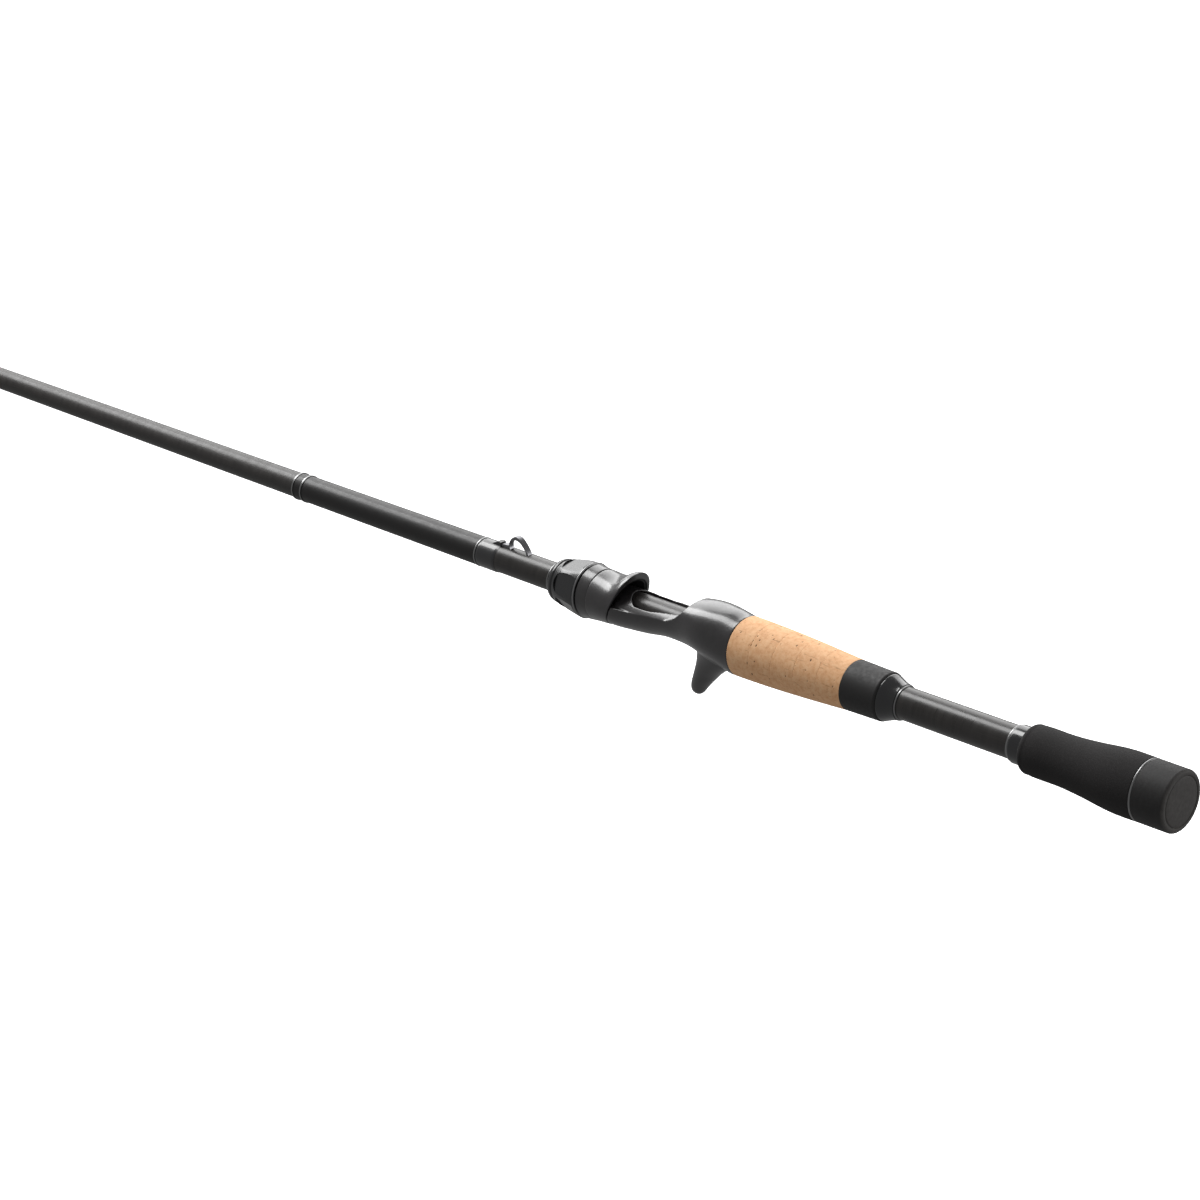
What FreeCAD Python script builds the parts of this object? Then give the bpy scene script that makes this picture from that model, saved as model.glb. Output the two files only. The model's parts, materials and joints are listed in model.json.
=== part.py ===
import FreeCAD, Part
import math
import os

# One-piece baitcasting rod with an empty trigger reel seat.
# Row frame, millimetres: origin at the centre of the butt's end face, +X along the rod to the tip,
# +Z to the side that carries the reel and the guides, trigger on -Z.
# "Station" means the distance from the butt face along X.

# ---- overall sizes
ROD_LENGTH = 2133.6
BLANK_BUTT_R = 7.30
BLANK_SEAT_R = 6.40
BLANK_MID_R = 5.15
BLANK_TIP_R = 1.00
BLANK_SEAT_S = 340.0
BLANK_MID_S = 709.0
BLANK_WALL_BUTT = 1.30
BLANK_WALL_TIP = 0.42
BLANK_SET_BACK = 4.0        # butt cap floor in front of the butt face
TIP_HIDDEN = 3.6            # tip-top ring reaches this far past the blank's end

# ---- butt and rear grip
CAP_R = 13.0
CAP_LENGTH = 15.0
CAP_ROUND = 1.4
CAP_DISC_R = 10.6
CAP_DISC_SUNK = 0.35
BUTT_RING_LENGTH = 1.1
BUTT_RING_R = 13.05
REAR_GRIP_LENGTH = 55.9
REAR_GRIP_R = 13.1
REAR_GRIP_WAIST_R = 10.5
REAR_COLLAR_LENGTH = 6.2
REAR_COLLAR_R = 8.1
LINE_RING_LENGTH = 0.8
LINE_RING_STEP = 0.45       # bright line rings stand this far above the blank
SPLIT_LENGTH = 55.8

# ---- fore grip
CHECK_LENGTH = 7.4
CHECK_SMALL_R = 7.7
CHECK_BIG_R = 9.9
TRIM_COLLAR_LENGTH = 18.2
TRIM_COLLAR_REAR_R = 10.5
TRIM_COLLAR_FRONT_R = 10.85
CORK_COUNT = 5
CORK_RING_LENGTH = 11.76
CORK_FRONT_R = 13.1
CORK_EDGE = 0.7

# ---- reel seat body
SEAT_TO_MOUTH = 27.0        # seat's rear end to the rear hood's lip
FOOT_SPAN = 37.0            # rear hood's lip to the sliding hood's lip, on the axis
SEAT_END_WALL = 6.1         # body's rear end outside the blank's bore
BORE_GAP = 0.15             # body bore around the blank
ARBOR_WALL = 0.40
ARBOR_END = 1.0
CROWN_R = 13.4              # bed is part of this cylinder, as a reel foot's underside is
BED_COVER = 0.35            # bed's top above the blank's bore
BED_EDGE_DROP = 5.2         # bed's side edge below its top
WINDOW_WIDEN = 1.5          # window's half width outside the blank's bore
WINDOW_FLOOR_Z = -1.0
FOOT_HALF_WIDTH = 8.8
POCKET_DEPTH = 14.0
POCKET_HEIGHT = 4.2
POCKET_RUNOUT = 12.0        # pocket's cutter runs on past the hood's lip
FRONT_POCKET_DEPTH = 13.0
SEAM_SLOPE = 0.4            # the parting face leans back towards the top
SEAM_FOOT = 4.0             # parting face ahead of the lip, on the axis
SEAM_GAP = 0.3

# ---- threaded barrel, hood and nut
BARREL_WALL = 1.10
THREAD_PITCH = 1.5
THREAD_DEPTH = 0.40
THREAD_LENGTH = 20.0
THREAD_RELIEF = 0.5         # nut's inner face to the barrel's end when closed
RUNNING_GAP = 0.08
HOOD_TRAVEL = 9.0
HOOD_MOUTH_RISE = 3.6       # foot pocket's roof above the barrel, at the lip and at its end
HOOD_POCKET_END_RISE = 0.55
LINER_WALL = 0.6
HOOD_LENGTH = 17.7          # lip to the collar
HOOD_COLLAR_LENGTH = 6.2
COLLAR_WALL = 3.25
NUT_GROOVE = 0.45
NUT_LENGTH = 15.2
NUT_REAR_WALL = 4.05
NUT_FRONT_WALL = 1.75
NUT_PANELS = 6
NUT_PHASE = -11.0           # turn of the closed nut, in degrees
NUT_PANEL_DEPTH = 0.9
NUT_RIB = 0.75              # half the width of the rib between two panels
NUT_PANEL_REAR = 2.0        # panel's ends inside the nut's ends
NUT_PANEL_FRONT = 1.8
NUT_PANEL_CORNER = 2.2      # panel's side edges stop this far behind its front
NUT_RING_LENGTH = 0.8
NUT_CONE_LENGTH = 5.8
NUT_END_WALL = 1.6
NUT_CONE_END_WALL = 0.5
NUT_BLANK_GAP = 0.45

# ---- hook keeper and trim in front of the seat
KEEPER_CLEARANCE = 7.6      # open nut to the hook keeper
KEEPER_LOOP_LENGTH = 11.5
KEEPER_LOOP_HEIGHT = 6.6
KEEPER_WIRE = 1.6
KEEPER_WIDTH = 2.6
KEEPER_FOOT = 8.0
KEEPER_BARE = 4.9           # bare foot between the loop and its wrap
KEEPER_WRAP_LENGTH = 11.6
SLEEVE_LENGTH = 112.5
COAT = 0.35                 # epoxy coat over thread or decal
TRIM_SPAN = 4.6             # epoxied band between the two front trim rings

# ---- line guides: share of the way from the tip back to the first guide, ring bore radius,
# ring centre above the blank, number of feet
FIRST_GUIDE_GAP = 319.0     # front trim to the first guide
GUIDES = (
    (1.000, 4.2, 13.0, 2),
    (0.779, 3.4, 11.0, 2),
    (0.615, 2.9, 9.0, 2),
    (0.481, 2.5, 7.5, 1),
    (0.366, 2.3, 6.6, 1),
    (0.260, 2.3, 6.2, 1),
    (0.164, 2.3, 6.0, 1),
    (0.077, 2.3, 6.0, 1),
)
RING_WALL = 0.85
RING_LENGTH = 1.9
RING_LAND = 0.9
FRAME_WALL = 0.6
FRAME_LENGTH = 1.5
LEG_R = 0.55
LEG_SLOPE = 0.62
LEG_SPREAD = math.radians(38)
FOOT_WIDTH = 2.2
FOOT_THICK = 0.7
FOOT_LENGTH = 11.0
WRAP_END = 3.0              # wrap beyond each end of a foot
TIP_TUBE_LENGTH = 11.0
TIP_TUBE_WALL = 0.35
TIP_RING_R = 2.3
TIP_RING_HEIGHT = 4.2
TIP_ARM_SPREAD = math.radians(62)

X = FreeCAD.Vector(1, 0, 0)
Y = FreeCAD.Vector(0, 1, 0)
ORIGIN = FreeCAD.Vector(0, 0, 0)
FAR = 60.0                  # reach of cutting tools past the body

# ---- stations, each worked out from the lengths above
CAP_END = CAP_LENGTH
BUTT_RING_END = CAP_END + BUTT_RING_LENGTH
REAR_GRIP_END = BUTT_RING_END + REAR_GRIP_LENGTH
REAR_COLLAR_END = REAR_GRIP_END + REAR_COLLAR_LENGTH
REAR_LINE_END = REAR_COLLAR_END + LINE_RING_LENGTH
CHECK_LINE_S = REAR_LINE_END + SPLIT_LENGTH
CHECK_S = CHECK_LINE_S + LINE_RING_LENGTH
TRIM_S = CHECK_S + CHECK_LENGTH
CORK_S = TRIM_S + TRIM_COLLAR_LENGTH
SEAT_S = CORK_S + CORK_COUNT * CORK_RING_LENGTH
MOUTH_S = SEAT_S + SEAT_TO_MOUTH
LIP_S = MOUTH_S + FOOT_SPAN
POCKET_S = MOUTH_S - POCKET_DEPTH
FRONT_POCKET_END = LIP_S + FRONT_POCKET_DEPTH
HOOD_END = LIP_S + HOOD_LENGTH
COLLAR_END = HOOD_END + HOOD_COLLAR_LENGTH
NUT_S = COLLAR_END + NUT_GROOVE
NUT_END = NUT_S + NUT_LENGTH
NUT_TIP = NUT_END + NUT_CONE_LENGTH
BARREL_END = NUT_END - NUT_END_WALL - THREAD_RELIEF
KEEPER_REAR_S = NUT_TIP + HOOD_TRAVEL + KEEPER_CLEARANCE
KEEPER_WRAP_S = KEEPER_REAR_S + KEEPER_LOOP_LENGTH + KEEPER_BARE
KEEPER_RING_S = KEEPER_WRAP_S + KEEPER_WRAP_LENGTH
SLEEVE_S = KEEPER_RING_S + LINE_RING_LENGTH
SLEEVE_END = SLEEVE_S + SLEEVE_LENGTH
BAND_S = SLEEVE_END + LINE_RING_LENGTH
BAND_END = BAND_S + TRIM_SPAN
TRIM_END = BAND_END + LINE_RING_LENGTH
FIRST_GUIDE_S = TRIM_END + FIRST_GUIDE_GAP
BLANK_END = ROD_LENGTH - TIP_HIDDEN


def between(value, low, high, at_low, at_high):
    """Straight-line value between two known ones."""
    return at_low + (at_high - at_low) * (value - low) / (high - low)


def blank_r(s):
    """Outer radius of the tapered blank at a station."""
    if s < BLANK_SEAT_S:
        return between(s, 0.0, BLANK_SEAT_S, BLANK_BUTT_R, BLANK_SEAT_R)
    if s < BLANK_MID_S:
        return between(s, BLANK_SEAT_S, BLANK_MID_S, BLANK_SEAT_R, BLANK_MID_R)
    return between(s, BLANK_MID_S, BLANK_END, BLANK_MID_R, BLANK_TIP_R)


# ---- radii that follow the blank's
BORE_R = blank_r(SEAT_S) + BORE_GAP
ARBOR_R = blank_r(SEAT_S) + ARBOR_WALL
BARREL_R = ARBOR_R + BARREL_WALL
SLIDE_R = BARREL_R + RUNNING_GAP
CROWN_TOP = BORE_R + BED_COVER
BED_EDGE_Z = CROWN_TOP - BED_EDGE_DROP
WINDOW_R = BORE_R + WINDOW_WIDEN
NUT_REAR_R = SLIDE_R + NUT_REAR_WALL
NUT_FRONT_R = SLIDE_R + NUT_FRONT_WALL
NUT_HOLE_R = blank_r(NUT_END) + NUT_BLANK_GAP
NUT_CONE_END_R = NUT_HOLE_R + NUT_CONE_END_WALL


def vec(s, y, z):
    return FreeCAD.Vector(s, y, z)


def breaks(start, end):
    """Stations between start and end where the blank's taper changes, with both ends."""
    inner = [s for s in (BLANK_SEAT_S, BLANK_MID_S) if start < s < end]
    return [start] + inner + [end]


class Outline:
    """A closed outline in a plane through the rod axis, built from (station, height) points."""

    def __init__(self, s, r):
        self.first = (s, r)
        self.last = (s, r)
        self.edges = []

    def line(self, s, r):
        self.edges.append(Part.LineSegment(vec(*self._at(self.last)), vec(s, 0, r)).toShape())
        self.last = (s, r)
        return self

    def arc(self, mid, end):
        """Arc of a circle through mid to end."""
        arc = Part.Arc(vec(*self._at(self.last)), vec(*self._at(mid)), vec(*self._at(end)))
        self.edges.append(arc.toShape())
        self.last = end
        return self

    def curve(self, points):
        """Smooth curve from the last point through the given ones."""
        curve = Part.BSplineCurve()
        curve.interpolate([vec(*self._at(p)) for p in [self.last] + list(points)])
        self.edges.append(curve.toShape())
        self.last = points[-1]
        return self

    def _at(self, point):
        return (point[0], 0, point[1])

    def face(self):
        if self.last != self.first:
            self.line(*self.first)
        return Part.Face(Part.Wire(self.edges))

    def lathe(self):
        """Solid of revolution about the rod axis."""
        return self.face().revolve(ORIGIN, X, 360)

    def slab(self, half_width):
        """The outline made solid across the rod, from -half_width to +half_width."""
        face = self.face()
        face.translate(vec(0, -half_width, 0))
        return face.extrude(vec(0, 2 * half_width, 0))


def blank_seat(outer, start, end, gap=0.0):
    """Lathe of an outer line from start to end, closed inwards on the blank's own taper."""
    for s in reversed(breaks(start, end)):
        outer.line(s, blank_r(s) + gap)
    return outer.lathe()


def sleeve(start, end, step_start, step_end=None):
    """Plain sleeve on the blank; the steps are its wall at each end."""
    step_end = step_start if step_end is None else step_end
    outer = Outline(start, blank_r(start))
    stations = breaks(start, end)
    for s in stations:
        outer.line(s, blank_r(s) + between(s, start, end, step_start, step_end))
    return blank_seat(outer, start, end)


def rounded_sleeve(start, end, step, ramp):
    """Coated wrap: a sleeve whose ends ramp down to a thin edge."""
    edge = step * 0.3
    outer = Outline(start, blank_r(start))
    outer.line(start, blank_r(start) + edge)
    outer.line(start + ramp, blank_r(start + ramp) + step)
    for s in breaks(start + ramp, end - ramp)[1:]:
        outer.line(s, blank_r(s) + step)
    outer.line(end, blank_r(end) + edge)
    return blank_seat(outer, start, end)


def cylinder(start, end, r):
    return Part.makeCylinder(r, end - start, vec(start, 0, 0), X)


def cone(start, end, r_start, r_end):
    return Part.makeCone(r_start, r_end, end - start, vec(start, 0, 0), X)


def block(s0, s1, half_width, z0, z1):
    return Part.makeBox(s1 - s0, 2 * half_width, z1 - z0, vec(s0, -half_width, z0))


def egg(s, half_width, depth, rise, shoulder=0.0, fullness=2.0):
    """Closed smooth section across the rod, widest at the shoulder's height.

    Depth and rise are from the axis to the bottom and the top; fullness 2 is an ellipse
    above the shoulder, and more is squarer.
    """
    points = []
    count = 32
    for i in range(count):
        angle = 2 * math.pi * i / count
        side = math.cos(angle)
        up = math.sin(angle)
        if up > 0:
            side = math.copysign(abs(side) ** (2 / fullness), side)
            up = up ** (2 / fullness)
        reach = rise - shoulder if up > 0 else depth + shoulder
        points.append(vec(s, half_width * side, shoulder + reach * up))
    curve = Part.BSplineCurve()
    curve.interpolate(points, PeriodicFlag=True)
    return Part.Wire([curve.toShape()])


def walled_loft(sections, core):
    """Smooth solid through egg sections whose sizes are walls outside a round core."""
    wires = []
    for s, side, below, above, *form in sections:
        wires.append(egg(s, core + side, core + below, core + above, *form))
    return Part.makeLoft(wires, True, False)


def ellipse_wire(centre, half_length, half_width):
    """Closed smooth level section of the trigger."""
    points = []
    count = 16
    for i in range(count):
        angle = 2 * math.pi * i / count
        points.append(centre + vec(half_length * math.cos(angle), half_width * math.sin(angle), 0))
    curve = Part.BSplineCurve()
    curve.interpolate(points, PeriodicFlag=True)
    return Part.Wire([curve.toShape()])


def rod_between(a, b, r):
    """Round bar with ball ends from point a to point b."""
    direction = b - a
    bar = Part.makeCylinder(r, direction.Length, a, direction)
    return bar.fuse([Part.makeSphere(r, a), Part.makeSphere(r, b)]).removeSplitter()


# ---------------------------------------------------------------- blank, butt and rear grip

def blank():
    outer = Outline(BLANK_SET_BACK, blank_r(BLANK_SET_BACK) - BLANK_WALL_BUTT)
    outer.line(BLANK_SET_BACK, blank_r(BLANK_SET_BACK))
    for s in breaks(BLANK_SET_BACK, BLANK_END)[1:]:
        outer.line(s, blank_r(s))
    outer.line(BLANK_END, BLANK_TIP_R - BLANK_WALL_TIP)
    for s in (BLANK_MID_S, BLANK_SEAT_S):
        wall = between(s, BLANK_SET_BACK, BLANK_END, BLANK_WALL_BUTT, BLANK_WALL_TIP)
        outer.line(s, blank_r(s) - wall)
    return outer.lathe()


def butt_cap():
    disc = Outline(CAP_DISC_SUNK, 0.0)
    disc.line(CAP_DISC_SUNK, CAP_DISC_R)
    disc.line(0.0, CAP_DISC_R + CAP_DISC_SUNK)
    disc.line(0.0, CAP_R - CAP_ROUND)
    middle = CAP_ROUND * (1 - math.sqrt(0.5))
    disc.arc((middle, CAP_R - middle), (CAP_ROUND, CAP_R))
    disc.line(CAP_END, CAP_R)
    disc.line(CAP_END, blank_r(CAP_END))
    disc.line(BLANK_SET_BACK, blank_r(BLANK_SET_BACK))
    disc.line(BLANK_SET_BACK, 0.0)
    return disc.lathe()


def butt_end_face():
    """Thin boss in the middle of the cap, so that the end face's centre is a real flat face."""
    return cylinder(0.0, CAP_DISC_SUNK, CAP_DISC_R * 0.5)


def butt_trim_ring():
    outer = Outline(CAP_END, blank_r(CAP_END))
    outer.line(CAP_END, BUTT_RING_R - 0.3)
    outer.line(CAP_END + 0.3, BUTT_RING_R)
    outer.line(BUTT_RING_END - 0.3, BUTT_RING_R)
    outer.line(BUTT_RING_END, BUTT_RING_R - 0.3)
    return blank_seat(outer, CAP_END, BUTT_RING_END)


def rear_grip():
    length = REAR_GRIP_LENGTH
    shape = (
        (0.10, REAR_GRIP_R),
        (0.24, between(0.90, 0, 1, REAR_GRIP_WAIST_R, REAR_GRIP_R)),
        (0.40, between(0.51, 0, 1, REAR_GRIP_WAIST_R, REAR_GRIP_R)),
        (0.56, between(0.17, 0, 1, REAR_GRIP_WAIST_R, REAR_GRIP_R)),
        (0.72, REAR_GRIP_WAIST_R),
        (0.86, REAR_GRIP_WAIST_R + 0.05),
        (0.95, REAR_GRIP_WAIST_R - 0.2),
    )
    outer = Outline(BUTT_RING_END, blank_r(BUTT_RING_END))
    outer.line(BUTT_RING_END, REAR_GRIP_R - 0.1)
    outer.curve([(BUTT_RING_END + share * length, r) for share, r in shape])
    shoulder = 1 - 0.95
    front = (REAR_GRIP_END, REAR_COLLAR_R + 0.6)
    middle = (REAR_GRIP_END - 0.22 * shoulder * length, REAR_GRIP_WAIST_R - 0.75)
    outer.arc(middle, front)
    return blank_seat(outer, BUTT_RING_END, REAR_GRIP_END)


def rear_grip_collar():
    outer = Outline(REAR_GRIP_END, blank_r(REAR_GRIP_END))
    outer.line(REAR_GRIP_END, REAR_COLLAR_R)
    outer.line(REAR_COLLAR_END - 0.8, REAR_COLLAR_R)
    outer.line(REAR_COLLAR_END, REAR_COLLAR_R - 0.4)
    return blank_seat(outer, REAR_GRIP_END, REAR_COLLAR_END)


# ---------------------------------------------------------------- fore grip

def grip_winding_check():
    outer = Outline(CHECK_S, blank_r(CHECK_S))
    outer.line(CHECK_S, CHECK_SMALL_R)
    third = CHECK_LENGTH / 3
    rise = CHECK_BIG_R - CHECK_SMALL_R
    outer.curve([
        (CHECK_S + third, CHECK_SMALL_R + 0.22 * rise),
        (CHECK_S + 2 * third, CHECK_SMALL_R + 0.62 * rise),
        (TRIM_S - 0.4, CHECK_BIG_R),
    ])
    outer.line(TRIM_S, CHECK_BIG_R)
    return blank_seat(outer, CHECK_S, TRIM_S)


def grip_trim_collar():
    outer = Outline(TRIM_S, blank_r(TRIM_S))
    outer.line(TRIM_S, TRIM_COLLAR_REAR_R - 1.2)
    outer.arc((TRIM_S + 0.4, TRIM_COLLAR_REAR_R - 0.35), (TRIM_S + 1.4, TRIM_COLLAR_REAR_R))
    outer.line(CORK_S, TRIM_COLLAR_FRONT_R)
    return blank_seat(outer, TRIM_S, CORK_S)


def cork_r(s):
    """Cork grip's radius: it swells from the trim collar to the reel seat."""
    share = (s - CORK_S) / (SEAT_S - CORK_S)
    return TRIM_COLLAR_FRONT_R + (CORK_FRONT_R - TRIM_COLLAR_FRONT_R) * math.sin(share * math.pi / 2)


def cork_ring(index):
    start = CORK_S + index * CORK_RING_LENGTH
    end = start + CORK_RING_LENGTH
    outer = Outline(start, blank_r(start))
    outer.line(start, cork_r(start))
    last = index == CORK_COUNT - 1
    stop = end - CORK_EDGE if last else end
    step = (stop - start) / 3
    outer.curve([(start + i * step, cork_r(start + i * step)) for i in (1, 2, 3)])
    if last:
        rim = cork_r(end) - CORK_EDGE * 0.5
        outer.arc((end - CORK_EDGE * 0.3, cork_r(end) - CORK_EDGE * 0.12), (end, rim))
    return blank_seat(outer, start, end)


# ---------------------------------------------------------------- reel seat

def seat_hull():
    """Outside of the reel seat's body as one smooth shape, before its openings are cut."""
    mouth = MOUTH_S
    lip = LIP_S
    # station, wall outside the blank's bore to each side, below and above, shoulder, fullness
    sections = (
        (SEAT_S, SEAT_END_WALL, SEAT_END_WALL, SEAT_END_WALL, 0.0, 2.0),
        (between(0.22, 0, 1, SEAT_S, mouth), 6.30, 5.40, 6.75, 1.0, 2.1),
        (between(0.44, 0, 1, SEAT_S, mouth), 6.40, 4.10, 7.20, 2.0, 2.25),
        (between(0.66, 0, 1, SEAT_S, mouth), 6.00, 2.70, 7.25, 2.8, 2.4),
        (between(0.87, 0, 1, SEAT_S, mouth), 5.00, 1.40, 6.85, 3.2, 2.4),
        (between(0.04, 0, 1, mouth, lip), 3.90, 0.85, 6.15, 3.3, 2.4),
        (between(0.20, 0, 1, mouth, lip), 3.10, 0.65, 5.85, 3.0, 2.4),
        (between(0.41, 0, 1, mouth, lip), 3.05, 0.75, 5.75, 2.5, 2.4),
        (between(0.62, 0, 1, mouth, lip), 3.55, 1.90, 5.75, 1.5, 2.2),
        (between(0.84, 0, 1, mouth, lip), 4.35, 2.70, 5.75, 1.0, 2.0),
        (lip, 5.10, 3.05, 5.95, 0.5, 2.0),
        (lip + 5.0, 5.60, 3.15, 5.95, 0.0, 2.0),
        (lip + 10.0, 5.80, 3.50, 5.95, 0.0, 2.0),
    )
    return walled_loft(sections, BORE_R)


def seam_keep(gap):
    """Everything behind the leaning parting face, moved back by a gap."""
    foot = LIP_S + SEAM_FOOT - gap
    corners = [
        vec(foot - SEAM_SLOPE * FAR, 0, FAR),
        vec(foot + SEAM_SLOPE * FAR, 0, -FAR),
        vec(SEAT_S - FAR, 0, -FAR),
        vec(SEAT_S - FAR, 0, FAR),
    ]
    face = Part.Face(Part.makePolygon(corners + [corners[0]]))
    face.translate(vec(0, -FAR, 0))
    return face.extrude(vec(0, 2 * FAR, 0))


def trigger():
    """Finger trigger under the seat: level sections from its root down to a rounded tip."""
    root = MOUTH_S - 2.5
    sections = (
        # height, front edge and rear edge ahead of the root, half width
        (-1.0, 2.0, -21.5, 9.6),
        (-5.5, 1.6, -21.0, 8.6),
        (-10.0, 1.7, -18.6, 7.0),
        (-14.5, 2.4, -13.6, 5.8),
        (-19.0, 3.7, -8.6, 4.8),
        (-23.5, 5.1, -4.6, 3.9),
        (-27.0, 5.6, -1.9, 2.9),
        (-28.9, 4.9, -0.2, 1.8),
        (-29.6, 3.8, 1.2, 0.8),
    )
    wires = []
    for height, front, rear, half_width in sections:
        centre = vec(root + (front + rear) / 2, 0, height)
        wires.append(ellipse_wire(centre, (front - rear) / 2, half_width))
    return Part.makeLoft(wires, True, False)


def crown(start, end):
    """Cylinder whose top is the bed that a reel foot sits on."""
    return Part.makeCylinder(CROWN_R, end - start, vec(start, 0, CROWN_TOP - CROWN_R), X)


def saddle_cut():
    """Space above the bed, from the rear hood's face to the front pocket's end."""
    mouth = MOUTH_S
    side = Outline(mouth - 2.5, FAR)
    side.line(mouth - 1.2, 15.5)
    side.curve([
        (mouth + 0.8, 11.2),
        (mouth + 2.6, 8.8),
        (mouth + 5.4, 6.2),
        (mouth + 8.6, 4.4),
        (mouth + 12.0, 3.0),
        (mouth + 17.0, BED_EDGE_Z),
    ])
    side.line(FRONT_POCKET_END, BED_EDGE_Z)
    side.line(FRONT_POCKET_END, FAR)
    return side.slab(FAR).cut(crown(SEAT_S, BARREL_END))


def window_cut():
    """Window through the bed that bares the blank: round in front, narrowing to the rear."""
    centre = LIP_S - 10.0
    front = vec(centre + WINDOW_R, 0, 0)
    left = vec(centre, WINDOW_R, 0)
    right = vec(centre, -WINDOW_R, 0)
    tail = MOUTH_S + 1.0
    waist = centre - 12.0
    sides = []
    for sign in (1, -1):
        side = Part.BSplineCurve()
        points = [
            vec(centre, sign * WINDOW_R, 0),
            vec(waist, sign * WINDOW_R * 0.83, 0),
            vec(tail, sign * WINDOW_R * 0.42, 0),
        ]
        side.interpolate(points, InitialTangent=-X, FinalTangent=vec(-1, -sign * 0.35, 0))
        sides.append(side.toShape())
    nose = Part.Arc(left, front, right).toShape()
    tail_edge = Part.LineSegment(vec(tail, WINDOW_R * 0.42, 0), vec(tail, -WINDOW_R * 0.42, 0)).toShape()
    outline = Part.Face(Part.Wire(Part.__sortEdges__([nose, sides[0], sides[1], tail_edge])))
    outline.translate(vec(0, 0, WINDOW_FLOOR_Z))
    return outline.extrude(vec(0, 0, FAR))


def rear_pocket():
    """Pocket in the rear hood that takes the back end of a reel foot."""
    slab = Outline(POCKET_S, 0.0)
    slab.line(POCKET_S, FAR)
    slab.line(MOUTH_S + POCKET_RUNOUT, FAR)
    slab.line(MOUTH_S + POCKET_RUNOUT, 0.0)
    wide = slab.slab(FOOT_HALF_WIDTH)
    centre_z = CROWN_TOP - CROWN_R
    length = MOUTH_S + POCKET_RUNOUT - POCKET_S
    arch = Part.makeCone(CROWN_R + POCKET_HEIGHT * 0.72, CROWN_R + POCKET_HEIGHT * 1.25, length,
                         vec(POCKET_S, 0, centre_z), X)
    return wide.common(arch).cut(crown(SEAT_S, BARREL_END))


def threaded_barrel():
    """Round barrel with thread crests and roots; it ends in a plain pilot."""
    start = LIP_S
    thread_start = BARREL_END - THREAD_LENGTH
    root = BARREL_R - THREAD_DEPTH
    outer = Outline(start, 0.0)
    outer.line(start, BARREL_R)
    outer.line(thread_start, BARREL_R)
    turns = int((THREAD_LENGTH - 1.0) / THREAD_PITCH)
    for i in range(turns):
        s = thread_start + i * THREAD_PITCH
        outer.line(s + 0.38 * THREAD_PITCH, root)
        outer.line(s + 0.56 * THREAD_PITCH, root)
        outer.line(s + 0.94 * THREAD_PITCH, BARREL_R)
        outer.line(s + THREAD_PITCH, BARREL_R)
    outer.line(BARREL_END - 0.4, BARREL_R)
    outer.line(BARREL_END, BARREL_R - 0.4)
    outer.line(BARREL_END, 0.0)
    return outer.lathe()


def reel_seat_body():
    hull = seat_hull().common(seam_keep(SEAM_GAP))
    solid = hull.fuse(trigger()).fuse(threaded_barrel())
    solid = solid.cut(saddle_cut())
    solid = solid.cut(rear_pocket())
    solid = solid.cut(window_cut())
    holes = cylinder(SEAT_S - 1, BARREL_END + 1, BORE_R)
    rear_arbor = cylinder(SEAT_S - 1, POCKET_S - ARBOR_END, ARBOR_R)
    front_arbor = cylinder(FRONT_POCKET_END + ARBOR_END, BARREL_END + 1, ARBOR_R)
    return solid.cut(holes.fuse([rear_arbor, front_arbor])).removeSplitter()


def seat_arbor(start, end):
    outer = Outline(start, blank_r(start))
    outer.line(start, ARBOR_R)
    outer.line(end, ARBOR_R)
    return blank_seat(outer, start, end)


# ---------------------------------------------------------------- sliding hood

def hood_pocket_r(s):
    return SLIDE_R + between(s, LIP_S, FRONT_POCKET_END, HOOD_MOUTH_RISE, HOOD_POCKET_END_RISE)


def hood_hull():
    # station, then wall outside the barrel's sliding fit: to each side, below, above
    sections = (
        (LIP_S - 3.0, 4.70, 1.40, 7.10),
        (LIP_S - 0.4, 4.70, 1.50, 6.90),
        (LIP_S + 2.0, 4.60, 1.60, 6.00),
        (LIP_S + 4.6, 4.45, 1.70, 4.40),
        (LIP_S + 8.0, 4.30, 2.00, 3.00),
        (LIP_S + 12.0, 4.10, 2.40, 2.70),
        (LIP_S + 15.0, 3.90, 2.70, 2.90),
        (HOOD_END, 3.80, 2.90, 3.05),
    )
    return walled_loft(sections, SLIDE_R)


def hood_front_bore(start, end):
    return cylinder(start, end, SLIDE_R)


def pocket_cone(shrink):
    """Tapered arch over the front end of a reel foot, above the bed's edge."""
    start = LIP_S - 3.0
    arch = cone(start, FRONT_POCKET_END, hood_pocket_r(start) - shrink,
                hood_pocket_r(FRONT_POCKET_END) - shrink)
    return arch.common(block(start, FRONT_POCKET_END, FAR, BED_EDGE_Z, FAR))


def sliding_hood():
    hull = hood_hull().cut(seam_keep(0.0))
    hull = hull.cut(hood_front_bore(LIP_S - FAR, HOOD_END + 1))
    return hull.cut(pocket_cone(0.0)).removeSplitter()


def hood_liner():
    """Thin cushion bonded under the hood's arch."""
    shell = pocket_cone(0.0).cut(pocket_cone(LINER_WALL))
    shell = shell.cut(seam_keep(-0.6))
    keep = block(LIP_S - FAR, FRONT_POCKET_END - 0.2, FAR, BED_EDGE_Z + 0.1, FAR)
    bore = hood_front_bore(LIP_S - FAR, HOOD_END + 1)
    return shell.common(keep).cut(bore)


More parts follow.
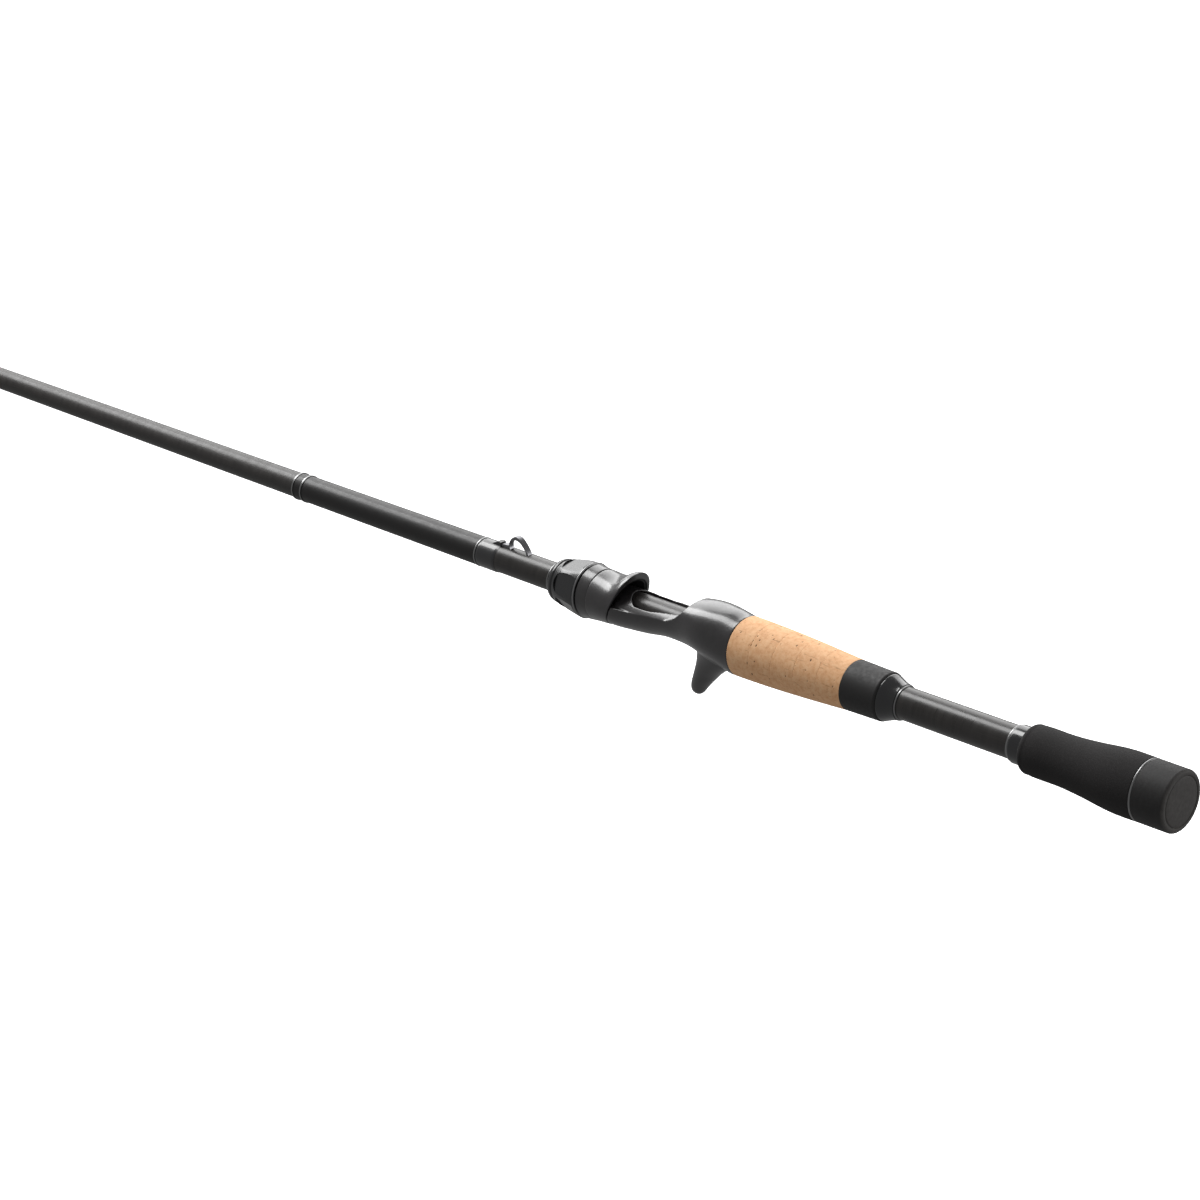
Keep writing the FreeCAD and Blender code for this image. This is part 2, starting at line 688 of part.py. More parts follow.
def hood_collar():
    """Ring that ties the nut to the hood; round, with an eased front edge."""
    outer = Outline(HOOD_END, SLIDE_R)
    outer.line(HOOD_END, SLIDE_R + COLLAR_WALL - 0.45)
    outer.line(HOOD_END + 0.35, SLIDE_R + COLLAR_WALL)
    outer.curve([(HOOD_END + 3.0, SLIDE_R + COLLAR_WALL + 0.2),
                 (COLLAR_END - 0.5, SLIDE_R + COLLAR_WALL + 0.5)])
    outer.line(COLLAR_END, SLIDE_R + COLLAR_WALL + 0.05)
    outer.line(COLLAR_END, SLIDE_R)
    return outer.lathe()


# ---------------------------------------------------------------- locking nut

def nut_r(s):
    """Nut's radius over its ribs: fullest near the hood, drawn in towards the tip."""
    share = (s - NUT_S) / NUT_LENGTH
    return NUT_REAR_R + 0.25 * math.sin(share * math.pi) - (NUT_REAR_R - NUT_FRONT_R) * share ** 1.6


def nut_panel():
    """Cutter for one flat grip panel on the nut's top side."""
    start = NUT_S + NUT_PANEL_REAR
    end = NUT_END - NUT_PANEL_FRONT
    side_end = end - NUT_PANEL_CORNER
    rear = nut_r(start) * math.tan(math.pi / NUT_PANELS) - NUT_RIB
    front = nut_r(end) * math.tan(math.pi / NUT_PANELS) - NUT_RIB
    corners = [vec(start, -rear, 0), vec(side_end, -front, 0), vec(end + 0.7, 0, 0),
               vec(side_end, front, 0), vec(start, rear, 0), vec(start - 0.5, 0, 0)]
    edges = [
        Part.LineSegment(corners[0], corners[1]).toShape(),
        Part.Arc(corners[1], corners[2], corners[3]).toShape(),
        Part.LineSegment(corners[3], corners[4]).toShape(),
        Part.Arc(corners[4], corners[5], corners[0]).toShape(),
    ]
    cutter = Part.Face(Part.Wire(edges)).extrude(vec(0, 0, FAR))
    low = nut_r(start) - NUT_PANEL_DEPTH
    high = nut_r(end) - NUT_PANEL_DEPTH * 0.9
    slope = math.degrees(math.atan2(low - high, end - start))
    cutter.rotate(vec(start, 0, 0), Y, slope)
    cutter.translate(vec(0, 0, low))
    return cutter


def locking_nut():
    outer = Outline(NUT_S + NUT_RING_LENGTH, SLIDE_R)
    first = NUT_S + NUT_RING_LENGTH
    outer.line(first, nut_r(first))
    count = 6
    stations = [first + (NUT_END - first) * i / count for i in range(1, count + 1)]
    outer.curve([(s, nut_r(s)) for s in stations])
    outer.line(NUT_END, NUT_HOLE_R)
    outer.line(NUT_END - NUT_END_WALL, NUT_HOLE_R)
    outer.line(NUT_END - NUT_END_WALL, SLIDE_R)
    solid = outer.lathe()
    panel = nut_panel()
    cutters = []
    for i in range(NUT_PANELS):
        cutter = panel.copy()
        cutter.rotate(ORIGIN, X, NUT_PHASE + 360.0 * i / NUT_PANELS)
        cutters.append(cutter)
    return solid.cut(cutters)


def nut_trim_ring():
    """Bright ring at the nut's hood end."""
    end = NUT_S + NUT_RING_LENGTH
    outer = Outline(NUT_S, SLIDE_R)
    outer.line(NUT_S, nut_r(NUT_S) - 0.1)
    outer.arc(((NUT_S + end) / 2, nut_r(NUT_S) + 0.2), (end, nut_r(end)))
    outer.line(end, SLIDE_R)
    return outer.lathe()


def nut_cone():
    """Tapered nose that closes the nut around the blank, with a step behind it."""
    outer = Outline(NUT_END, NUT_HOLE_R)
    outer.line(NUT_END, NUT_FRONT_R - 0.55)
    outer.line(NUT_END + 0.9, NUT_FRONT_R - 0.55)
    outer.line(NUT_END + 1.2, NUT_FRONT_R - 0.15)
    outer.curve([
        (NUT_END + 2.6, NUT_FRONT_R - 0.5),
        (NUT_TIP - NUT_RING_LENGTH, NUT_CONE_END_R + 0.25),
    ])
    outer.line(NUT_TIP - NUT_RING_LENGTH, NUT_HOLE_R)
    return outer.lathe()


def nut_nose_ring():
    """Bright ring at the tip of the nut's nose."""
    start = NUT_TIP - NUT_RING_LENGTH
    outer = Outline(start, NUT_HOLE_R)
    outer.line(start, NUT_CONE_END_R + 0.25)
    outer.arc(((start + NUT_TIP) / 2, NUT_CONE_END_R + 0.2), (NUT_TIP, NUT_CONE_END_R - 0.1))
    outer.line(NUT_TIP, NUT_HOLE_R)
    return outer.lathe()


# ---------------------------------------------------------------- hook keeper and trim

def hook_keeper():
    """Bent strip: a loop that stands on the blank and a foot that the wrap ties down."""
    rear = KEEPER_REAR_S
    front = rear + KEEPER_LOOP_LENGTH
    foot_end = front + KEEPER_FOOT
    base = blank_r(rear)
    sunk = base - 0.5
    top = base + KEEPER_LOOP_HEIGHT
    wire = KEEPER_WIRE
    strip = Outline(rear - 0.3, sunk)
    strip.curve([(rear + 3.4, top - 2.0), (rear + 7.6, top), (front - 1.0, top - 1.9),
                 (front + 0.2, base + wire)])
    strip.line(foot_end, blank_r(foot_end) + wire * 0.55)
    strip.line(foot_end, sunk)
    strip.line(front - 0.8, sunk)
    strip.curve([(front - 1.9, top - 2.2), (rear + 7.4, top - wire), (rear + 4.2, top - 2.8),
                 (rear + 0.9, sunk)])
    return strip.slab(KEEPER_WIDTH / 2).cut(blank_core(rear - 2, foot_end + 2))


def keeper_wrap(keeper):
    """Coated wrap over the keeper's foot, with a hump where the foot lies."""
    start = KEEPER_WRAP_S
    end = KEEPER_RING_S
    foot_end = KEEPER_REAR_S + KEEPER_LOOP_LENGTH + KEEPER_FOOT
    wrap = rounded_sleeve(start, end, COAT, 1.2)
    base = blank_r(start)
    saddle = Outline(start, 0.0)
    saddle.line(start, base + KEEPER_WIRE + COAT * 0.5)
    saddle.line(start + 1.0, base + KEEPER_WIRE + COAT)
    saddle.line(foot_end, base + KEEPER_WIRE * 0.55 + COAT)
    saddle.line(foot_end + 2.5, base)
    saddle.line(foot_end + 2.5, 0.0)
    hump = saddle.slab(KEEPER_WIDTH / 2 + COAT)
    return wrap.fuse(hump.cut(blank_core(start - 1, end + 1))).cut(keeper).removeSplitter()


def blank_core(start, end):
    """The blank's own outside as a solid tool."""
    outer = Outline(start, 0.0)
    for s in breaks(start, end):
        outer.line(s, blank_r(s))
    outer.line(end, 0.0)
    return outer.lathe()


# ---------------------------------------------------------------- guides

def ring_lathe(s, height, section):
    """Turns a closed (axial, radial) section about a line parallel to the rod at a height."""
    points = [vec(s + a, 0, height + r) for a, r in section]
    face = Part.Face(Part.makePolygon(points + [points[0]]))
    return face.revolve(vec(s, 0, height), X, 360)


def guide_ring(s, bore, height):
    half = RING_LENGTH / 2
    land = RING_LAND / 2
    outer = bore + RING_WALL
    ease = (half - land) * 0.8
    section = [
        (-half, outer), (-half, bore + ease), (-land - ease * 0.4, bore + ease * 0.25), (-land, bore),
        (land, bore), (land + ease * 0.4, bore + ease * 0.25), (half, bore + ease), (half, outer),
    ]
    return ring_lathe(s, height, section)


def frame_ring(s, bore, height):
    inner = bore + RING_WALL
    outer = inner + FRAME_WALL
    half = FRAME_LENGTH / 2
    ease = 0.15
    section = [
        (-half, inner), (-half, outer - ease), (-half + ease, outer),
        (half - ease, outer), (half, outer - ease), (half, inner),
    ]
    return ring_lathe(s, height, section)


def leg_lean(s, height):
    """How far along the rod a leg's foot is from its ring."""
    return (height - blank_r(s)) * LEG_SLOPE


def foot_plate(start, end):
    """Flat foot on top of the blank, from its leg end to its thinned outer end."""
    base = max(blank_r(start), blank_r(end)) + 0.02
    reach = min(start, end)
    away = max(start, end)
    thin = 0.25
    leg_thick = FOOT_THICK
    left, right = (leg_thick, thin) if start < end else (thin, leg_thick)
    side = Outline(reach, base - 0.15)
    side.line(reach, base + left)
    side.line(away, base + right)
    side.line(away, base - 0.15)
    plate = side.slab(FOOT_WIDTH / 2)
    return plate.cut(blank_core(reach - 1, away + 1))


def guide_frame(s, bore, height, feet):
    """Frame ring, legs and one or two feet, as a single bent-metal piece."""
    solid = frame_ring(s, bore, height)
    middle = bore + RING_WALL + FRAME_WALL / 2
    lean = leg_lean(s, height)
    for side in ((-1, 1) if feet == 2 else (-1,)):
        root_s = s + side * lean
        root_z = blank_r(min(root_s, s)) + FOOT_THICK * 0.5 + LEG_R * 0.5
        for hand in (-1, 1):
            low = vec(root_s, hand * (FOOT_WIDTH / 2 - LEG_R - 0.05), root_z)
            high = vec(s, hand * middle * math.sin(LEG_SPREAD), height - middle * math.cos(LEG_SPREAD))
            solid = solid.fuse(rod_between(low, high, LEG_R))
        solid = solid.fuse(foot_plate(root_s - side * LEG_R * 2, root_s + side * FOOT_LENGTH))
    hole = Part.makeCylinder(bore + RING_WALL, 4 * FRAME_LENGTH, vec(s - 2 * FRAME_LENGTH, 0, height), X)
    return solid.cut(hole).cut(blank_core(s - FAR, s + FAR)).removeSplitter()


def foot_wrap(s, height, side, frame):
    """Thread wrap that ties one foot to the blank."""
    lean = leg_lean(s, height)
    near = s + side * (lean + 1.2)
    far = s + side * (lean + FOOT_LENGTH + WRAP_END)
    start = min(near, far)
    end = max(near, far)
    wrap = rounded_sleeve(start, end, COAT, 0.8)
    foot_end = far - side * WRAP_END
    low = min(near, foot_end + side * 0.8)
    high = max(near, foot_end + side * 0.8)
    base = max(blank_r(low), blank_r(high))
    top_near = base + FOOT_THICK + COAT
    top_far = base + 0.2 + COAT
    saddle = Outline(low, 0.0)
    saddle.line(low, top_near if side > 0 else top_far)
    saddle.line(high, top_far if side > 0 else top_near)
    saddle.line(high, 0.0)
    hump = saddle.slab(FOOT_WIDTH / 2 + COAT).cut(blank_core(low - 1, high + 1))
    return wrap.fuse(hump).cut(frame).removeSplitter()


def tip_top_frame():
    """Tip tube that slips over the blank's end, with the arms that hold the tip ring."""
    end = BLANK_END + 0.6
    start = end - TIP_TUBE_LENGTH
    outer_r = blank_r(start) + TIP_TUBE_WALL
    tube = Outline(start, blank_r(start))
    tube.line(start, outer_r)
    tube.line(end, outer_r)
    tube.line(end, 0.0)
    tube.line(BLANK_END, 0.0)
    tube.line(BLANK_END, blank_r(BLANK_END))
    tube_solid = tube.lathe()
    ring_s = ROD_LENGTH - RING_LENGTH / 2
    ring = frame_ring(ring_s, TIP_RING_R, TIP_RING_HEIGHT)
    middle = TIP_RING_R + RING_WALL + FRAME_WALL / 2
    arms = []
    for hand in (-1, 1):
        high = vec(ring_s, hand * middle * math.sin(TIP_ARM_SPREAD),
                   TIP_RING_HEIGHT - middle * math.cos(TIP_ARM_SPREAD))
        low = vec(start + 3.0, hand * (outer_r - LEG_R * 0.5), 0.3)
        arms.append(rod_between(low, high, LEG_R * 0.85))
    brace_high = vec(ring_s, 0, TIP_RING_HEIGHT - middle)
    arms.append(rod_between(vec(end - 0.6, 0, 0.2), brace_high, LEG_R * 0.8))
    solid = tube_solid.fuse([ring] + arms).removeSplitter()
    hole = Part.makeCylinder(TIP_RING_R + RING_WALL, 4 * FRAME_LENGTH,
                             vec(ring_s - 2 * FRAME_LENGTH, 0, TIP_RING_HEIGHT), X)
    return solid.cut(hole).cut(blank_core(start - 5, BLANK_END))


# ---------------------------------------------------------------- assembly

def line_ring(start):
    return sleeve(start, start + LINE_RING_LENGTH, LINE_RING_STEP)


def trim_and_sleeve(nodes):
    """Coated sleeve ahead of the keeper wrap, between thin bright rings."""
    nodes["keeper_trim_ring"] = sleeve(KEEPER_RING_S, SLEEVE_S, COAT + 0.1)
    nodes["gloss_sleeve"] = sleeve(SLEEVE_S, SLEEVE_END, COAT * 0.8)
    nodes["front_trim_rings"] = Part.makeCompound([
        sleeve(SLEEVE_END, BAND_S, COAT + 0.25),
        sleeve(BAND_END, TRIM_END, COAT + 0.25),
    ])
    nodes["front_trim_band"] = sleeve(BAND_S, BAND_END, COAT)


def guides(nodes):
    for number, (share, bore, height, feet) in enumerate(GUIDES, start=1):
        s = between(share, 0, 1, ROD_LENGTH, FIRST_GUIDE_S)
        centre = blank_r(s) + height
        frame = guide_frame(s, bore, centre, feet)
        name = "guide_%d" % number
        nodes[name + "_frame"] = frame
        nodes[name + "_ring"] = guide_ring(s, bore, centre)
        sides = (-1, 1) if feet == 2 else (-1,)
        wraps = [foot_wrap(s, centre, side, frame) for side in sides]
        nodes[name + "_wraps" if feet == 2 else name + "_wrap"] = Part.makeCompound(wraps)


def build():
    nodes = {}
    nodes["blank"] = blank()
    nodes["butt_cap"] = butt_cap().fuse(butt_end_face()).removeSplitter()
    nodes["butt_trim_ring"] = butt_trim_ring()
    nodes["rear_grip"] = rear_grip()
    nodes["rear_grip_collar"] = rear_grip_collar()
    nodes["rear_grip_ring"] = line_ring(REAR_COLLAR_END)
    nodes["grip_check_ring"] = line_ring(CHECK_LINE_S)
    nodes["grip_winding_check"] = grip_winding_check()
    nodes["grip_trim_collar"] = grip_trim_collar()
    for index in range(CORK_COUNT):
        nodes["cork_ring_%d" % (index + 1)] = cork_ring(index)
    nodes["reel_seat_body"] = reel_seat_body()
    nodes["seat_arbor_rear"] = seat_arbor(SEAT_S, POCKET_S - ARBOR_END)
    nodes["seat_arbor_front"] = seat_arbor(FRONT_POCKET_END + ARBOR_END, BARREL_END)
    nodes["sliding_hood"] = sliding_hood()
    nodes["hood_liner"] = hood_liner()
    nodes["hood_collar"] = hood_collar()
    nodes["locking_nut"] = locking_nut()
    nodes["nut_trim_ring"] = nut_trim_ring()
    nodes["nut_cone"] = nut_cone()
    nodes["nut_nose_ring"] = nut_nose_ring()
    keeper = hook_keeper()
    nodes["hook_keeper"] = keeper
    nodes["hook_keeper_wrap"] = keeper_wrap(keeper)
    trim_and_sleeve(nodes)
    guides(nodes)
    ring_s = ROD_LENGTH - RING_LENGTH / 2
    nodes["tip_top_frame"] = tip_top_frame()
    nodes["tip_top_ring"] = guide_ring(ring_s, TIP_RING_R, TIP_RING_HEIGHT)
    return nodes


def main():
    os.makedirs("parts", exist_ok=True)
    for name, shape in build().items():
        solids = len(shape.Solids)
        print("%-22s solids %d valid %s volume %.1f" % (name, solids, shape.isValid(), shape.Volume))
        shape.exportStep("parts/%s.step" % name)


main()
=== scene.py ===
import bmesh
import bpy
import json
import math
from mathutils import Matrix, Vector


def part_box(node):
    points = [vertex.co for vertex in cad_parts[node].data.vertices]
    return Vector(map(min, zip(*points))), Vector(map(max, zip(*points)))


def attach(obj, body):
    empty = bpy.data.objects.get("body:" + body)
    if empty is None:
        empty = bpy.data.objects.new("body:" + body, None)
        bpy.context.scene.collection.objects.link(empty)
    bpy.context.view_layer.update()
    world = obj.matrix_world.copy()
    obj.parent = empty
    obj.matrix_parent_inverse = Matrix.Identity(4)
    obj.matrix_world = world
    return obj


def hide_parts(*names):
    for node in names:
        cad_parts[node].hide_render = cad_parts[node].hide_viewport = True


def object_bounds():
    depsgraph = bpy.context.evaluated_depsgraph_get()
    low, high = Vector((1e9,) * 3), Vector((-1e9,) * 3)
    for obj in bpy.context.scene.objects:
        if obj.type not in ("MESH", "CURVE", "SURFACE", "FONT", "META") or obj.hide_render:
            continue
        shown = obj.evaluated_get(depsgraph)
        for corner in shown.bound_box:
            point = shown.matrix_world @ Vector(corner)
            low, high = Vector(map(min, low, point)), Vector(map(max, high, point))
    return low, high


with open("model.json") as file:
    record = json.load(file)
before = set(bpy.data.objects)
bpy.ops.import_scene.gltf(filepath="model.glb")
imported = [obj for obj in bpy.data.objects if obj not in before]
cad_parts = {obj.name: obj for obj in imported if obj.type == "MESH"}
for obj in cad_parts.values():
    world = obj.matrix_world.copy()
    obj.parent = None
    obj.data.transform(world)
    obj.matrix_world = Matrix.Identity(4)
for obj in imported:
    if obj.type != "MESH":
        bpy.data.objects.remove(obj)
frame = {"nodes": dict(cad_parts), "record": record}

cad_low, cad_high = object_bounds()
NODES = frame["nodes"]
BODY_OF = {}
for body, members in frame["record"]["behaviour"]["bodies"].items():
    for member in members:
        BODY_OF[member] = body

# Units are metres and watts. +X runs along the rod to its tip, +Z is the reel's side.

# ---------------------------------------------------------------- camera, floor and light

CAMERA_AT = Vector((-0.7465, 1.1148, 0.6314))
CAMERA_AZIMUTH = math.radians(223.3)
CAMERA_ELEVATION = math.radians(22.5)
CAMERA_LENS = 115.5
FLOOR_DROP = 0.55           # floor below the trigger's tip, so that no shadow falls in view
FLOOR_REACH = 14.0          # half the floor's side
FLOOR_GLOW = 0.95
AMBIENT = 0.31              # strength of the white world
HANDLE = (0.25, 0.0, 0.0)   # near the fixed hood's lip
# name, place, aimed at, width, height, power
LIGHTS = (
    ("back_softbox", (1.15, -0.95, 0.75), HANDLE, 1.7, 1.1, 16.0),
    ("overhead", (1.25, 0.03, 1.17), (0.30, 0.0, 0.0), 0.65, 1.5, 26.0),
    ("butt_far", (-0.85, -1.00, 0.25), (0.28, 0.0, 0.0), 0.9, 0.7, 6.0),
)


def turned_to(back):
    """Rotation that points an object's -Z away from the back vector, with no roll."""
    right = Vector((0, 0, 1)).cross(back).normalized()
    up = back.cross(right).normalized()
    return Matrix((right, up, back)).transposed().to_4x4()


def make_camera():
    back = Vector((
        math.sin(CAMERA_AZIMUTH) * math.cos(CAMERA_ELEVATION),
        -math.cos(CAMERA_AZIMUTH) * math.cos(CAMERA_ELEVATION),
        math.sin(CAMERA_ELEVATION),
    ))
    data = bpy.data.cameras.new("camera")
    data.lens = CAMERA_LENS
    data.sensor_width = 36.0
    data.clip_start = 0.02
    data.clip_end = 60.0
    camera = bpy.data.objects.new("camera", data)
    camera.matrix_world = Matrix.Translation(CAMERA_AT) @ turned_to(back)
    bpy.context.scene.collection.objects.link(camera)
    bpy.context.scene.camera = camera


def area_light(name, at, target, size_x, size_y, power):
    data = bpy.data.lights.new(name, "AREA")
    data.shape = "RECTANGLE"
    data.size = size_x
    data.size_y = size_y
    data.energy = power
    lamp = bpy.data.objects.new(name, data)
    back = (Vector(at) - Vector(target)).normalized()
    lamp.matrix_world = Matrix.Translation(Vector(at)) @ turned_to(back)
    bpy.context.scene.collection.objects.link(lamp)


def make_studio():
    world = bpy.data.worlds.new("studio")
    bpy.context.scene.world = world
    world.use_nodes = True
    background = world.node_tree.nodes["Background"]
    background.inputs["Color"].default_value = (1.0, 1.0, 1.0, 1.0)
    background.inputs["Strength"].default_value = AMBIENT
    for light in LIGHTS:
        area_light(*light)
    mesh = bpy.data.meshes.new("floor")
    level = cad_low.z - FLOOR_DROP
    signs = ((-1, -1), (1, -1), (1, 1), (-1, 1))
    corners = [(FLOOR_REACH * x, FLOOR_REACH * y, level) for x, y in signs]
    mesh.from_pydata(corners, [], [(0, 1, 2, 3)])
    floor = bpy.data.objects.new("floor", mesh)
    bpy.context.scene.collection.objects.link(floor)
    floor.visible_diffuse = False
    floor.visible_glossy = False
    pale = bpy.data.materials.new("floor_pale")
    pale.use_nodes = True
    shader = pale.node_tree.nodes["Principled BSDF"]
    shader.inputs["Base Color"].default_value = (0.95, 0.95, 0.95, 1.0)
    shader.inputs["Roughness"].default_value = 0.9
    shader.inputs["Emission Color"].default_value = (1.0, 1.0, 1.0, 1.0)
    shader.inputs["Emission Strength"].default_value = FLOOR_GLOW
    mesh.materials.append(pale)
    bpy.context.scene.view_settings.view_transform = "Standard"


# ---------------------------------------------------------------- materials

class Shader:
    """A principled material whose detail comes from procedural nodes in object space."""

    def __init__(self, name, color, roughness, metallic=0.0,
                 coat=0.0, coat_roughness=0.05, specular=0.5):
        self.material = bpy.data.materials.new(name)
        self.material.use_nodes = True
        self.tree = self.material.node_tree
        self.shader = self.tree.nodes["Principled BSDF"]
        self.set("Base Color", (*color, 1.0))
        self.set("Roughness", roughness)
        self.set("Metallic", metallic)
        self.set("Coat Weight", coat)
        self.set("Coat Roughness", coat_roughness)
        self.set("Specular IOR Level", specular)
        self.coords = self.tree.nodes.new("ShaderNodeTexCoord").outputs["Object"]

    def set(self, socket, value):
        self.shader.inputs[socket].default_value = value

    def scaled(self, scale, offset=(0, 0, 0)):
        """Object coordinates in units of 1 / scale metres."""
        node = self.tree.nodes.new("ShaderNodeMapping")
        node.inputs["Scale"].default_value = scale
        node.inputs["Location"].default_value = offset
        self.tree.links.new(self.coords, node.inputs["Vector"])
        return node.outputs["Vector"]

    def noise(self, scale, detail=3.0, roughness=0.55, offset=(0, 0, 0)):
        node = self.tree.nodes.new("ShaderNodeTexNoise")
        node.inputs["Scale"].default_value = 1.0
        node.inputs["Detail"].default_value = detail
        node.inputs["Roughness"].default_value = roughness
        self.tree.links.new(self.scaled(scale, offset), node.inputs["Vector"])
        return node.outputs["Fac"]

    def cells(self, scale, offset=(0, 0, 0)):
        node = self.tree.nodes.new("ShaderNodeTexVoronoi")
        node.inputs["Scale"].default_value = 1.0
        self.tree.links.new(self.scaled(scale, offset), node.inputs["Vector"])
        return node.outputs["Distance"]

    def wave(self, scale):
        node = self.tree.nodes.new("ShaderNodeTexWave")
        node.bands_direction = "X"
        node.inputs["Scale"].default_value = 1.0
        self.tree.links.new(self.scaled(scale), node.inputs["Vector"])
        return node.outputs["Fac"]

    def ramp(self, value, stops):
        """Maps a value to colours or greys at the given stops."""
        node = self.tree.nodes.new("ShaderNodeValToRGB")
        elements = node.color_ramp.elements
        while len(elements) < len(stops):
            elements.new(0.5)
        for element, (place, color) in zip(elements, stops):
            element.position = place
            element.color = (*(color if isinstance(color, tuple) else even(color)), 1.0)
        self.tree.links.new(value, node.inputs["Fac"])
        return node.outputs["Color"]

    def mix(self, share, first, second):
        node = self.tree.nodes.new("ShaderNodeMix")
        node.data_type = "RGBA"
        for index, value in ((0, share), (6, first), (7, second)):
            if isinstance(value, bpy.types.NodeSocket):
                self.tree.links.new(value, node.inputs[index])
            elif isinstance(value, tuple):
                node.inputs[index].default_value = (*value, 1.0)
            else:
                node.inputs[index].default_value = value
        return node.outputs[2]

    def math(self, operation, first, second=0.0):
        node = self.tree.nodes.new("ShaderNodeMath")
        node.operation = operation
        for index, value in enumerate((first, second)):
            if isinstance(value, bpy.types.NodeSocket):
                self.tree.links.new(value, node.inputs[index])
            else:
                node.inputs[index].default_value = value
        return node.outputs[0]

    def along_rod(self, start, end, at_start, at_end):
        """Value that changes evenly along the rod between two stations in metres."""
        split = self.tree.nodes.new("ShaderNodeSeparateXYZ")
        self.tree.links.new(self.coords, split.inputs["Vector"])
        node = self.tree.nodes.new("ShaderNodeMapRange")
        self.tree.links.new(split.outputs["X"], node.inputs["Value"])
        sockets = ("From Min", "From Max", "To Min", "To Max")
        for socket, value in zip(sockets, (start, end, at_start, at_end)):
            node.inputs[socket].default_value = value
        return node.outputs["Result"]

    def link(self, value, socket):
        self.tree.links.new(value, self.shader.inputs[socket])

    def bump(self, height, strength, distance):
        """Adds a bump; further calls stack on the earlier ones."""
        node = self.tree.nodes.new("ShaderNodeBump")
        node.inputs["Strength"].default_value = strength
        node.inputs["Distance"].default_value = distance
        self.tree.links.new(height, node.inputs["Height"])
        links = self.shader.inputs["Normal"].links
        if links:
            self.tree.links.new(links[0].from_socket, node.inputs["Normal"])
        self.tree.links.new(node.outputs["Normal"], self.shader.inputs["Normal"])


CAP_FACE = (0.0004, 0.0012)  # stations where the cap's end disc gives way to its side


def even(value):
    return (value, value, value)


